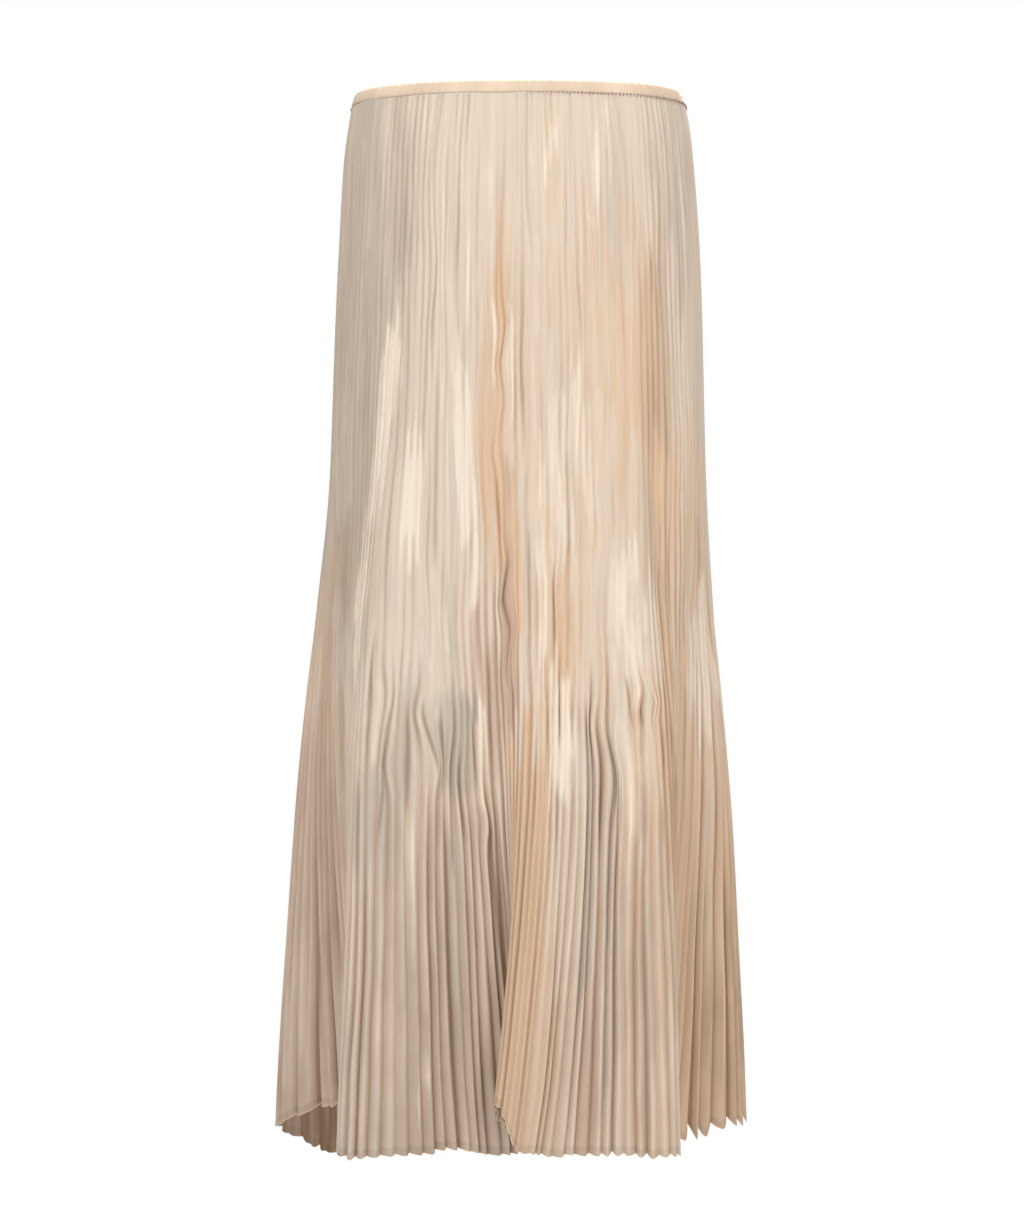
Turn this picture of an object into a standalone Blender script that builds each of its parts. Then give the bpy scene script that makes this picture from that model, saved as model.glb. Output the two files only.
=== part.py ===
"""A long pleated skirt, filled out as it hangs from a waist: a narrow elastic waistband over a front
and a back panel of sunray pleats, each panel one zigzag wall of cloth from the waistband to the hem.

Metres, +Z up. The origin is the centre of the waist at the middle of the band's height. The skirt's
front faces -Y. Pleats are numbered from the left side seam (-X) round the front to the right side
seam (+X), and on round the back to the left seam again.
"""

import math
from collections import namedtuple

import bpy
import numpy as np

# Driving sizes
PANEL_PLEATS = 80
BAND_HEIGHT = 0.011
BAND_THICKNESS = 0.0026
SKIRT_LENGTH = 0.8891  # from the cloth's top edge to the level hem
CLOTH = 0.0011  # thickness of the wall, square to a pleat's side
SEAM_GAP = 0.0003
MEAN_REACH = 0.15  # of the upper skirt, which scales the room that its pleats take from its reach
ZIGZAG_START = 0.8  # share of the length below which the rows of a pleat follow its zigzag hem
WAIST_ROUNDNESS = {"left": 2.3, "right": 2.6}  # exponents of the waist's superellipse: 2 is an ellipse
HIP_SHARE = 0.2  # share of the skirt's length at which the pleats are evenly spaced
FOLDS_START = 0.32  # share of the length above which no large fold reaches
FOLDS_GROWTH = 1.3  # power with which the folds deepen below that
SLIDES_START = 0.62  # share of the length above which no pleat is swept sideways
SLIDES_GROWTH = 1.6  # power with which the sweep grows below that
FOLD_FULLNESS = 1.25  # how round the hem's path turns at a fold: 1 is a plain Catmull-Rom curve
PATH_STEPS = 6000
OUTLINE_STEPS = 1441
STEEPEST_PLEAT = 0.42  # most that a pleat's half height may be, as a share of its width
FLATTEST_PLEAT = 0.3  # least that a pleat's height may be, as a share of its side
SHARP = 30.0  # degrees between faces above which an edge is shaded sharp

ALL_PLEATS = 2 * PANEL_PLEATS
CLOTH_TOP = -BAND_HEIGHT / 2 - SEAM_GAP
HEM = CLOTH_TOP - SKIRT_LENGTH

# Outside reach of the skirt at each height, and the width of one side of a pleat there.
Section = namedtuple("Section", "height left right front back side")
SECTIONS = (
    Section(0.0055, 0.1428, 0.1428, 0.0985, 0.1040, 0.0029),
    Section(-0.0055, 0.1461, 0.1461, 0.1000, 0.1060, 0.0029),
    Section(-0.0230, 0.1489, 0.1495, 0.1012, 0.1090, 0.0030),
    Section(-0.0490, 0.1522, 0.1526, 0.1022, 0.1125, 0.0031),
    Section(-0.1280, 0.1568, 0.1583, 0.1045, 0.1190, 0.0034),
    Section(-0.2330, 0.1620, 0.1620, 0.1075, 0.1245, 0.0038),
    Section(-0.3370, 0.1664, 0.1646, 0.1120, 0.1300, 0.0043),
    Section(-0.4420, 0.1769, 0.1699, 0.1180, 0.1380, 0.0050),
    Section(-0.5210, 0.1865, 0.1777, 0.1245, 0.1460, 0.0056),
    Section(-0.6260, 0.1969, 0.1865, 0.1340, 0.1590, 0.0064),
    Section(-0.7300, 0.2048, 0.1920, 0.1435, 0.1730, 0.0072),
    Section(-0.8350, 0.2118, 0.1987, 0.1525, 0.1870, 0.0079),
    Section(-0.8946, 0.2146, 0.2013, 0.1570, 0.1950, 0.0083),
)

# The large folds at the hem, in order round it. Bearing is in degrees from the front towards +X,
# reach is the distance from the axis to the middle of the wall, and rise is how far the hem is lifted
# there. A ridge's tip hangs lower than that by the zigzag, and a furrow's notch sits higher by it.
# Slide is how far the lowest part of the pleats is swept sideways round the hem.
Fold = namedtuple("Fold", "pleat bearing reach rise zigzag slide")
FOLDS = (
    Fold(-1.0, -92.0, 0.2105, 0.003, 0.0025, 0.000),  # left lobe
    Fold(9.0, -67.0, 0.1480, 0.034, 0.0020, 0.008),  # left valley
    Fold(19.0, -44.0, 0.2080, 0.000, 0.0012, 0.000),  # front's left corner
    Fold(27.0, -22.0, 0.1535, 0.003, 0.0010, 0.000),
    Fold(32.8, -4.5, 0.1190, -0.004, 0.0010, 0.000),  # centre valley
    Fold(34.2, 1.0, 0.1155, -0.004, 0.0010, 0.000),
    Fold(35.4, 4.6, 0.1245, 0.003, 0.0010, -0.003),
    Fold(38.4, 2.4, 0.1470, 0.030, 0.0010, -0.022),
    Fold(40.0, 2.0, 0.1575, 0.044, 0.0010, -0.024),  # edge swept over the centre valley
    Fold(44.0, 7.5, 0.1599, 0.007, 0.0010, -0.023),
    Fold(47.5, 12.7, 0.1604, 0.003, 0.0012, -0.021),
    Fold(53.0, 26.1, 0.1659, 0.001, 0.0015, -0.005),
    Fold(59.5, 43.7, 0.1880, 0.000, 0.0020, 0.000),  # front's right corner
    Fold(69.0, 64.0, 0.1340, -0.005, 0.0045, 0.000),  # right valley
    Fold(77.5, 93.0, 0.1990, 0.008, 0.0055, 0.010),  # right lobe
    Fold(90.0, 124.0, 0.1600, 0.002, 0.0030, 0.000),
    Fold(101.0, 148.0, 0.1980, 0.000, 0.0020, 0.000),
    Fold(111.0, 167.0, 0.1540, 0.000, 0.0015, 0.000),
    Fold(120.5, 185.0, 0.1940, 0.000, 0.0015, 0.000),
    Fold(130.5, 204.0, 0.1500, -0.008, 0.0015, 0.000),
    Fold(141.0, 224.0, 0.2040, -0.030, 0.0020, 0.000),  # back left lobe, which hangs lowest
    Fold(150.5, 247.0, 0.1650, -0.032, 0.0020, 0.000),
)

# Shares of the skirt's length at which the wall has a ring of points.
RINGS = (0.0, 0.045, 0.12, 0.22, 0.34, 0.46, 0.57, 0.68, 0.79, 0.9, 1.0)
BAND_STEPS = 112

# Corners of the band's section: up and outward, as shares of half its height and half its thickness.
BAND_PROFILE = ((-1, 0.6), (-0.6, 1), (0.6, 1), (1, 0.6), (1, -0.6), (0.6, -1), (-0.6, -1), (-1, -0.6))


def smooth_through(knots, values, at):
    """A smooth curve through the values that never swings past them, read at the places in at."""
    knots, values = np.asarray(knots, float), np.asarray(values, float)
    steps = np.diff(knots)
    rises = np.diff(values) / steps
    slopes = np.zeros(len(knots))
    same_way = rises[:-1] * rises[1:] > 0
    near, far = rises[:-1][same_way], rises[1:][same_way]
    before = (2 * steps[1:] + steps[:-1])[same_way]
    after = (steps[1:] + 2 * steps[:-1])[same_way]
    slopes[1:-1][same_way] = (before + after) / (before / near + after / far)
    slopes[0], slopes[-1] = rises[0], rises[-1]
    piece = np.clip(np.searchsorted(knots, at, side="right") - 1, 0, len(steps) - 1)
    step = steps[piece]
    t = (at - knots[piece]) / step
    return (
        values[piece] * (1 + 2 * t) * (1 - t) ** 2
        + values[piece + 1] * t**2 * (3 - 2 * t)
        + step * t * (1 - t) * (slopes[piece] * (1 - t) - slopes[piece + 1] * t)
    )


def section_at(name, height):
    """One column of SECTIONS at the heights given."""
    rows = SECTIONS[::-1]
    return smooth_through([s.height for s in rows], [getattr(s, name) for s in rows], height)


def to_reach(x_unit, y_unit, height):
    """Points of a unit outline, stretched to the skirt's outside reach at each height."""
    across = np.where(x_unit < 0, section_at("left", height), section_at("right", height))
    deep = np.where(y_unit < 0, section_at("front", height), section_at("back", height))
    return x_unit * across, y_unit * deep


def walked(x, y):
    """Length along a path at each of its points."""
    return np.concatenate([[0.0], np.cumsum(np.hypot(np.diff(x), np.diff(y)))])


def waist_outline(pleat):
    """Unit outline of the upper skirt, with a panel's pleats evenly spaced along each half of it."""
    bearing = np.radians(np.linspace(-90.0, 270.0, OUTLINE_STEPS))
    sine, cosine = np.sin(bearing), np.cos(bearing)
    power = 2 / np.where(sine < 0, WAIST_ROUNDNESS["left"], WAIST_ROUNDNESS["right"])
    x = np.sign(sine) * np.abs(sine) ** power
    y = -np.sign(cosine) * np.abs(cosine) ** power
    hip = CLOTH_TOP - HIP_SHARE * SKIRT_LENGTH
    along = walked(*to_reach(x, y, np.full_like(x, hip)))
    seams = along[[0, len(along) // 2, -1]]
    place = np.interp(np.mod(pleat, ALL_PLEATS), [0, PANEL_PLEATS, ALL_PLEATS], seams)
    return np.interp(place, along, x), np.interp(place, along, y)


def fold_path():
    """The hem's path through the folds, as (x, y, length along it), and the length at each fold with
    that fold. It goes round three times, so that the middle turn joins its neighbours smoothly."""
    turns = [
        fold._replace(pleat=fold.pleat + turn * ALL_PLEATS, bearing=fold.bearing + turn * 360.0)
        for turn in (-1, 0, 1)
        for fold in FOLDS
    ]
    bearing = np.radians([fold.bearing for fold in turns])
    reach = np.array([fold.reach for fold in turns])
    points = np.stack([reach * np.sin(bearing), -reach * np.cos(bearing)], axis=1)
    times = np.concatenate([[0.0], np.cumsum(np.sqrt(np.linalg.norm(np.diff(points, axis=0), axis=1)))])
    speed = np.diff(points, axis=0) / np.diff(times)[:, None]
    across = (points[2:] - points[:-2]) / (times[2:] - times[:-2])[:, None]
    slope = np.zeros_like(points)
    slope[1:-1] = FOLD_FULLNESS * (speed[:-1] + speed[1:] - across)
    fine = np.linspace(times[1], times[-2], PATH_STEPS)
    piece = np.clip(np.searchsorted(times, fine, side="right") - 1, 0, len(times) - 2)
    step = (times[piece + 1] - times[piece])[:, None]
    t = (fine - times[piece])[:, None] / step
    path = (
        points[piece] * (1 + 2 * t) * (1 - t) ** 2
        + points[piece + 1] * t**2 * (3 - 2 * t)
        + step * t * (1 - t) * (slope[piece] * (1 - t) - slope[piece + 1] * t)
    )
    along = walked(path[:, 0], path[:, 1])
    return (path[:, 0], path[:, 1], along), np.interp(times[1:-1], fine, along), turns[1:-1]


HEM_PATH, LENGTH_AT_FOLDS, HEM_FOLDS = fold_path()


def fold_at(name, pleat):
    """One column of FOLDS at the pleats given."""
    pleats = [fold.pleat for fold in HEM_FOLDS]
    return smooth_through(pleats, [getattr(fold, name) for fold in HEM_FOLDS], np.mod(pleat, ALL_PLEATS))


def hem_outline(pleat):
    """Unit outline of the hem at each pleat."""
    x, y, along = HEM_PATH
    pleats = [fold.pleat for fold in HEM_FOLDS]
    place = smooth_through(pleats, LENGTH_AT_FOLDS, np.mod(pleat, ALL_PLEATS))
    x, y = np.interp(place, along, x), np.interp(place, along, y)
    across, deep = to_reach(np.sign(x), np.sign(y), np.full_like(x, HEM))
    return x / np.abs(across), y / np.abs(deep)


def grown(share, start, growth):
    """How far a form has grown at each share of the length: 0 down to its start, 1 at the hem."""
    return np.clip((share - start) / (1 - start), 0, 1) ** growth


def wall_middle(pleat, share):
    """Middle of the cloth, its pleats left out, at each pleat and share of the length: x, y, z."""
    x_top, y_top = waist_outline(pleat)
    x_hem, y_hem = hem_outline(pleat)
    height = CLOTH_TOP + share * (fold_at("rise", pleat) - SKIRT_LENGTH)
    folded = grown(share, FOLDS_START, FOLDS_GROWTH)
    inset = 1 - (CLOTH / 2 + section_at("side", height) / 4) / MEAN_REACH
    x, y = to_reach(
        (1 - folded) * inset * x_top + folded * x_hem,
        (1 - folded) * inset * y_top + folded * y_hem,
        height,
    )
    turned = fold_at("slide", pleat) * grown(share, SLIDES_START, SLIDES_GROWTH) / np.hypot(x, y)
    return x - turned * y, y + turned * x, height


def pleated_wall(pleat, share, side, seam_shift):
    """Outer and inner points of the wall. side is 1 on a pleat's ridge and -1 in its furrow."""
    x, y, z = wall_middle(pleat, share)
    x_after, y_after, _ = wall_middle(pleat + 0.5, share)
    x_before, y_before, _ = wall_middle(pleat - 0.5, share)
    along_x, along_y = x_after - x_before, y_after - y_before
    pitch = np.hypot(along_x, along_y)
    along_x, along_y = along_x / pitch, along_y / pitch
    cut = section_at("side", z)
    height = np.sqrt(np.maximum(cut**2 - (pitch / 2) ** 2, (FLATTEST_PLEAT * cut) ** 2))
    half_rise = np.minimum(height / 2, STEEPEST_PLEAT * pitch)
    slant = np.hypot(1.0, 4 * half_rise / pitch)
    half_wall = CLOTH * slant / 2
    x, y = x + along_x * seam_shift, y + along_y * seam_shift
    z = z - side * fold_at("zigzag", pleat) * np.maximum(share - ZIGZAG_START, 0) / (1 - ZIGZAG_START)
    out_x, out_y = along_y, -along_x
    outer = side * half_rise + half_wall
    inner = side * half_rise - half_wall
    return (
        np.stack([x + out_x * outer, y + out_y * outer, z], axis=-1),
        np.stack([x + out_x * inner, y + out_y * inner, z], axis=-1),
    )


def two_triangles(a, b, c, d):
    return (a, b, c), (a, c, d)


def new_object(name, points, faces, colour, roughness):
    """One closed piece with its own material."""
    mesh = bpy.data.meshes.new(name)
    mesh.from_pydata([tuple(p) for p in points], [], faces)
    mesh.shade_smooth()
    mesh.set_sharp_from_angle(angle=math.radians(SHARP))
    material = bpy.data.materials.new(name)
    material.use_nodes = True
    shader = material.node_tree.nodes["Principled BSDF"]
    shader.inputs["Base Color"].default_value = (*colour, 1)
    shader.inputs["Roughness"].default_value = roughness
    shader.inputs["Metallic"].default_value = 0
    mesh.materials.append(material)
    made = bpy.data.objects.new(name, mesh)
    bpy.context.collection.objects.link(made)
    return made


def panel(name, first_pleat, colour):
    """One panel: a zigzag wall from one side seam to the other, thin at its top, hem and two edges."""
    count = 2 * PANEL_PLEATS + 1
    pleat = first_pleat + np.arange(count) / 2
    side = np.where(np.arange(count) % 2, 1.0, -1.0)
    seam_shift = np.zeros(count)
    seam_shift[0], seam_shift[-1] = SEAM_GAP / 2, -SEAM_GAP / 2
    share = np.repeat(RINGS, count).reshape(len(RINGS), count)
    outer, inner = pleated_wall(np.tile(pleat, (len(RINGS), 1)), share, side, seam_shift)
    points = np.concatenate([outer.reshape(-1, 3), inner.reshape(-1, 3)])
    out, into = np.arange(len(points)).reshape(2, len(RINGS), count).tolist()
    faces = []
    for low in range(len(RINGS) - 1):
        for k in range(count - 1):
            faces += two_triangles(out[low][k], out[low + 1][k], out[low + 1][k + 1], out[low][k + 1])
            faces += two_triangles(into[low][k], into[low][k + 1], into[low + 1][k + 1], into[low + 1][k])
    edge = [(0, k) for k in range(count)]
    edge += [(low, count - 1) for low in range(1, len(RINGS))]
    edge += [(len(RINGS) - 1, k) for k in range(count - 2, -1, -1)]
    edge += [(low, 0) for low in range(len(RINGS) - 2, 0, -1)]
    for (row, k), (next_row, next_k) in zip(edge, edge[1:] + edge[:1]):
        faces += two_triangles(out[row][k], out[next_row][next_k], into[next_row][next_k], into[row][k])
    return new_object(name, points, faces, colour, 0.6)


def waistband():
    """The elastic band: a strip with soft edges, swept round the waist."""
    pleat = np.arange(BAND_STEPS) * ALL_PLEATS / BAND_STEPS
    points = []
    for up, outward in BAND_PROFILE:
        height = np.full(BAND_STEPS, up * BAND_HEIGHT / 2)
        x, y = to_reach(*waist_outline(pleat), height)
        along_x = np.roll(x, -1) - np.roll(x, 1)
        along_y = np.roll(y, -1) - np.roll(y, 1)
        shift = (outward - 1) * BAND_THICKNESS / 2 / np.hypot(along_x, along_y)
        points.append(np.stack([x + shift * along_y, y - shift * along_x, height], axis=1))
    faces = []
    for corner in range(len(BAND_PROFILE)):
        for k in range(BAND_STEPS):
            after, above = (k + 1) % BAND_STEPS, (corner + 1) % len(BAND_PROFILE)
            square = (corner, k), (corner, after), (above, after), (above, k)
            faces += two_triangles(*(row * BAND_STEPS + column for row, column in square))
    return new_object("waistband", np.concatenate(points), faces, (0.84, 0.68, 0.51), 0.4)


def main():
    for old in list(bpy.data.objects):
        bpy.data.objects.remove(old)
    panel("skirt_front", 0, (0.70, 0.57, 0.44))
    panel("skirt_back", PANEL_PLEATS, (0.62, 0.49, 0.37))
    waistband()


main()
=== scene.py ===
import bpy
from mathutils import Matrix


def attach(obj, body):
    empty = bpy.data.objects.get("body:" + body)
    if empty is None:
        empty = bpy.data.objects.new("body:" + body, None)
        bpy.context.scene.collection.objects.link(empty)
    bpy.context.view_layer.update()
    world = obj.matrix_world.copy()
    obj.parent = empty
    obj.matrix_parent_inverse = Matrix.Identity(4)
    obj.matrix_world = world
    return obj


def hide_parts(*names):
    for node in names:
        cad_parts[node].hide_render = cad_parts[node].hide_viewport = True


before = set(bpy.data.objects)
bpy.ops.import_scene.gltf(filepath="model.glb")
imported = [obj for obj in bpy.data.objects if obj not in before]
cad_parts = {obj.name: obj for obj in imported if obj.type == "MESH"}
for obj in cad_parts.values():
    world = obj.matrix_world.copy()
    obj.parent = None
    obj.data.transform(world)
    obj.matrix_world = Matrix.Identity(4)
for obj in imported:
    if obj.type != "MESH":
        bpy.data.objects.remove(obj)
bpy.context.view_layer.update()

# A long sunray-pleated skirt in a space-dyed crepe, worn by nobody, in metres. Pleats are numbered from
# the left side seam (-X) round the front to the right side seam, and on round the back to the left seam.
# Share is the share of the cloth's length, from 0 under the waistband to 1 at the hem.

import math
from collections import namedtuple

import bpy
import numpy as np
from mathutils import Vector


def table(columns, rows, defaults=()):
    """The rows with their cells named. Defaults stand in for cells left out at a row's end."""
    named = namedtuple("Row", columns, defaults=defaults)
    return [named(*row) for row in rows]


# ---- the solid's sizes and large form

PANEL_PLEATS = 80
ALL_PLEATS = 2 * PANEL_PLEATS
BAND_HEIGHT = 0.011
BAND_THICKNESS = 0.0026
SKIRT_LENGTH = 0.8891
CLOTH = 0.0011  # thickness of the solid's wall
SEAM_GAP = 0.0003
MEAN_REACH = 0.15
ZIGZAG_START = 0.8
WAIST_ROUNDNESS = {"left": 2.3, "right": 2.6}  # 2 would be an ellipse
HIP_SHARE = 0.2
FOLDS_START = 0.32
FOLDS_GROWTH = 1.3
SLIDES_START = 0.62
SLIDES_GROWTH = 1.6
FOLD_FULLNESS = 1.25
PATH_STEPS = 6000
OUTLINE_STEPS = 1441
STEEPEST_PLEAT = 0.42
FLATTEST_PLEAT = 0.3
CLOTH_TOP = -BAND_HEIGHT / 2 - SEAM_GAP
HEM = CLOTH_TOP - SKIRT_LENGTH

# Outside reach of the skirt at each height, and the width of one side of a pleat there.
SECTIONS = table("height left right front back side", (
    (0.0055, 0.1428, 0.1428, 0.0985, 0.104, 0.0029), (-0.0055, 0.1461, 0.1461, 0.1, 0.106, 0.0029),
    (-0.023, 0.1489, 0.1495, 0.1012, 0.109, 0.003), (-0.049, 0.1522, 0.1526, 0.1022, 0.1125, 0.0031),
    (-0.128, 0.1568, 0.1583, 0.1045, 0.119, 0.0034), (-0.233, 0.162, 0.162, 0.1075, 0.1245, 0.0038),
    (-0.337, 0.1664, 0.1646, 0.112, 0.13, 0.0043), (-0.442, 0.1769, 0.1699, 0.118, 0.138, 0.005),
    (-0.521, 0.1865, 0.1777, 0.1245, 0.146, 0.0056), (-0.626, 0.1969, 0.1865, 0.134, 0.159, 0.0064),
    (-0.73, 0.2048, 0.192, 0.1435, 0.173, 0.0072), (-0.835, 0.2118, 0.1987, 0.1525, 0.187, 0.0079),
    (-0.8946, 0.2146, 0.2013, 0.157, 0.195, 0.0083),
))

# The large folds at the hem: bearing in degrees from the front towards +X, reach from the axis, rise of
# the hem, zigzag of its ridges and furrows, and slide, a sweep of the lowest part sideways.
FOLDS = table("pleat bearing reach rise zigzag slide", (
    (-1, -92, 0.2105, 0.003, 0.0025),  # left lobe
    (9, -67, 0.148, 0.034, 0.002, 0.008),  # left valley
    (19, -44, 0.208, 0, 0.0012),  # front's left corner
    (27, -22, 0.1535, 0.003, 0.001),
    (32.8, -4.5, 0.119, -0.004, 0.001),  # centre valley
    (34.2, 1, 0.1155, -0.004, 0.001),
    (35.4, 4.6, 0.1245, 0.003, 0.001, -0.003),
    (38.4, 2.4, 0.147, 0.03, 0.001, -0.022),
    (40, 2, 0.1575, 0.044, 0.001, -0.024),  # edge swept over the centre valley
    (44, 7.5, 0.1599, 0.007, 0.001, -0.023),
    (47.5, 12.7, 0.1604, 0.003, 0.0012, -0.021),
    (53, 26.1, 0.1659, 0.001, 0.0015, -0.005),
    (59.5, 43.7, 0.188, 0, 0.002),  # front's right corner
    (69, 64, 0.134, -0.005, 0.0045),  # right valley
    (77.5, 93, 0.199, 0.008, 0.0055, 0.01),  # right lobe
    (90, 124, 0.16, 0.002, 0.003),
    (101, 148, 0.198, 0, 0.002),
    (111, 167, 0.154, 0, 0.0015),
    (120.5, 185, 0.194, 0, 0.0015),
    (130.5, 204, 0.15, -0.008, 0.0015),
    (141, 224, 0.204, -0.03, 0.002),  # back left lobe, which hangs lowest
    (150.5, 247, 0.165, -0.032, 0.002),
), defaults=(0,))


def eased(t):
    """From 0 to 1 with a soft start and a soft end."""
    return t**2 * (3 - 2 * t)


def ramped(value, start, length):
    """0 up to start, then straight up to 1 over length."""
    return np.clip((value - start) / length, 0, 1)


def cubics_through(knots, values, slopes, at):
    """A curve through the values that has these slopes there, read at the places in at."""
    piece = np.clip(np.searchsorted(knots, at, side="right") - 1, 0, len(knots) - 2)
    step = knots[piece + 1] - knots[piece]
    t = (at - knots[piece]) / step
    return (
        values[..., piece] * (1 + 2 * t) * (1 - t) ** 2
        + values[..., piece + 1] * t**2 * (3 - 2 * t)
        + step * t * (1 - t) * (slopes[..., piece] * (1 - t) - slopes[..., piece + 1] * t)
    )


def smooth_through(knots, values, at):
    """A smooth curve through the values that never swings past them, read at the places in at."""
    knots, values = np.asarray(knots, float), np.asarray(values, float)
    steps = np.diff(knots)
    rises = np.diff(values) / steps
    slopes = np.zeros(len(knots))
    same_way = rises[:-1] * rises[1:] > 0
    near, far = rises[:-1][same_way], rises[1:][same_way]
    before = (2 * steps[1:] + steps[:-1])[same_way]
    after = (steps[1:] + 2 * steps[:-1])[same_way]
    slopes[1:-1][same_way] = (before + after) / (before / near + after / far)
    slopes[0], slopes[-1] = rises[0], rises[-1]
    return cubics_through(knots, values, slopes, at)


def round_skirt(rows, name, pleat):
    """One column of a table whose rows run round the skirt, at the pleats given."""
    values = [getattr(row, name) for row in rows]
    return smooth_through([row.pleat for row in rows], values, np.mod(pleat, ALL_PLEATS))


def section_at(name, height):
    """One column of SECTIONS at the heights given."""
    rows = SECTIONS[::-1]
    return smooth_through([s.height for s in rows], [getattr(s, name) for s in rows], height)


def to_reach(x_unit, y_unit, height):
    """Points of a unit outline, stretched to the skirt's outside reach at each height."""
    across = np.where(x_unit < 0, section_at("left", height), section_at("right", height))
    deep = np.where(y_unit < 0, section_at("front", height), section_at("back", height))
    return x_unit * across, y_unit * deep


def walked(x, y):
    """Length along a path at each of its points."""
    return np.concatenate([[0.0], np.cumsum(np.hypot(np.diff(x), np.diff(y)))])


def waist_path():
    """The upper skirt's unit outline, with the length along it at the hip."""
    bearing = np.radians(np.linspace(-90.0, 270.0, OUTLINE_STEPS))
    sine, cosine = np.sin(bearing), np.cos(bearing)
    power = 2 / np.where(sine < 0, WAIST_ROUNDNESS["left"], WAIST_ROUNDNESS["right"])
    x = np.sign(sine) * np.abs(sine) ** power
    y = -np.sign(cosine) * np.abs(cosine) ** power
    hip = CLOTH_TOP - HIP_SHARE * SKIRT_LENGTH
    return x, y, walked(*to_reach(x, y, np.full_like(x, hip)))


def fold_path():
    """The hem's path through the folds, over three turns, and the length along it at each fold."""
    turns = [
        fold._replace(pleat=fold.pleat + turn * ALL_PLEATS, bearing=fold.bearing + turn * 360.0)
        for turn in (-1, 0, 1)
        for fold in FOLDS
    ]
    bearing = np.radians([fold.bearing for fold in turns])
    reach = np.array([fold.reach for fold in turns])
    points = np.stack([reach * np.sin(bearing), -reach * np.cos(bearing)], axis=1)
    times = np.concatenate([[0.0], np.cumsum(np.sqrt(np.linalg.norm(np.diff(points, axis=0), axis=1)))])
    speed = np.diff(points, axis=0) / np.diff(times)[:, None]
    across = (points[2:] - points[:-2]) / (times[2:] - times[:-2])[:, None]
    slope = np.zeros_like(points)
    slope[1:-1] = FOLD_FULLNESS * (speed[:-1] + speed[1:] - across)
    fine = np.linspace(times[1], times[-2], PATH_STEPS)
    x, y = cubics_through(times, points.T, slope.T, fine)
    along = walked(x, y)
    return (x, y, along), np.interp(times[1:-1], fine, along), turns[1:-1]


WAIST_PATH = waist_path()
HEM_PATH, LENGTH_AT_FOLDS, HEM_FOLDS = fold_path()


def waist_outline(pleat):
    """Unit outline of the upper skirt, with a panel's pleats evenly spaced along each half of it."""
    x, y, along = WAIST_PATH
    seams = along[[0, len(along) // 2, -1]]
    place = np.interp(np.mod(pleat, ALL_PLEATS), [0, PANEL_PLEATS, ALL_PLEATS], seams)
    return np.interp(place, along, x), np.interp(place, along, y)


def hem_outline(pleat):
    """Unit outline of the hem at each pleat."""
    x, y, along = HEM_PATH
    pleats = [fold.pleat for fold in HEM_FOLDS]
    place = smooth_through(pleats, LENGTH_AT_FOLDS, np.mod(pleat, ALL_PLEATS))
    x, y = np.interp(place, along, x), np.interp(place, along, y)
    across, deep = to_reach(np.sign(x), np.sign(y), np.full_like(x, HEM))
    return x / np.abs(across), y / np.abs(deep)


def grown(share, start, growth):
    """How far a form has grown at each share of the length: 0 down to its start, 1 at the hem."""
    return ramped(share, start, 1 - start) ** growth


def wall_middle(pleat, share):
    """Middle of the cloth, its pleats left out, at each pleat and share of the length: x, y, z."""
    x_top, y_top = waist_outline(pleat)
    x_hem, y_hem = hem_outline(pleat)
    height = CLOTH_TOP + share * (round_skirt(HEM_FOLDS, "rise", pleat) - SKIRT_LENGTH)
    folded = grown(share, FOLDS_START, FOLDS_GROWTH)
    inset = 1 - (CLOTH / 2 + section_at("side", height) / 4) / MEAN_REACH
    x, y = to_reach(
        (1 - folded) * inset * x_top + folded * x_hem,
        (1 - folded) * inset * y_top + folded * y_hem,
        height,
    )
    slide = round_skirt(HEM_FOLDS, "slide", pleat) * grown(share, SLIDES_START, SLIDES_GROWTH)
    turned = slide / np.hypot(x, y)
    return x - turned * y, y + turned * x, height


# ---- how the thin cloth differs from it

# Which way the pleats lie over: where the ridge stands between its furrows, 0.5 in the middle.
LEANS = table("pleat ridge", (
    (0, 0.4), (9, 0.52), (15, 0.6), (24, 0.7), (33, 0.66), (38, 0.4), (44, 0.6), (51, 0.66),
    (55, 0.36), (62, 0.34), (68, 0.62), (78, 0.6), (92, 0.4), (101, 0.58), (111, 0.42), (121, 0.62),
    (131, 0.38), (142, 0.6), (152, 0.44), (160, 0.4),
))

# Where the fine, half-pressed pleats of the upper skirt open into deep ones, and over how much of the
# length they do so.
OPENINGS = table("pleat share blur", (
    (0, 0.59, 0.05), (8, 0.61, 0.06), (14, 0.64, 0.1), (20, 0.66, 0.12), (26, 0.63, 0.1),
    (31, 0.63, 0.08), (36, 0.62, 0.1), (41, 0.66, 0.12), (46, 0.71, 0.1), (50, 0.65, 0.08),
    (54, 0.62, 0.1), (60, 0.63, 0.1), (66, 0.58, 0.05), (71, 0.545, 0.03), (78, 0.55, 0.03),
    (88, 0.62, 0.06), (97, 0.56, 0.05), (106, 0.61, 0.08), (115, 0.57, 0.05), (124, 0.64, 0.1),
    (133, 0.56, 0.06), (142, 0.61, 0.08), (151, 0.58, 0.05), (160, 0.59, 0.05),
))

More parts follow.
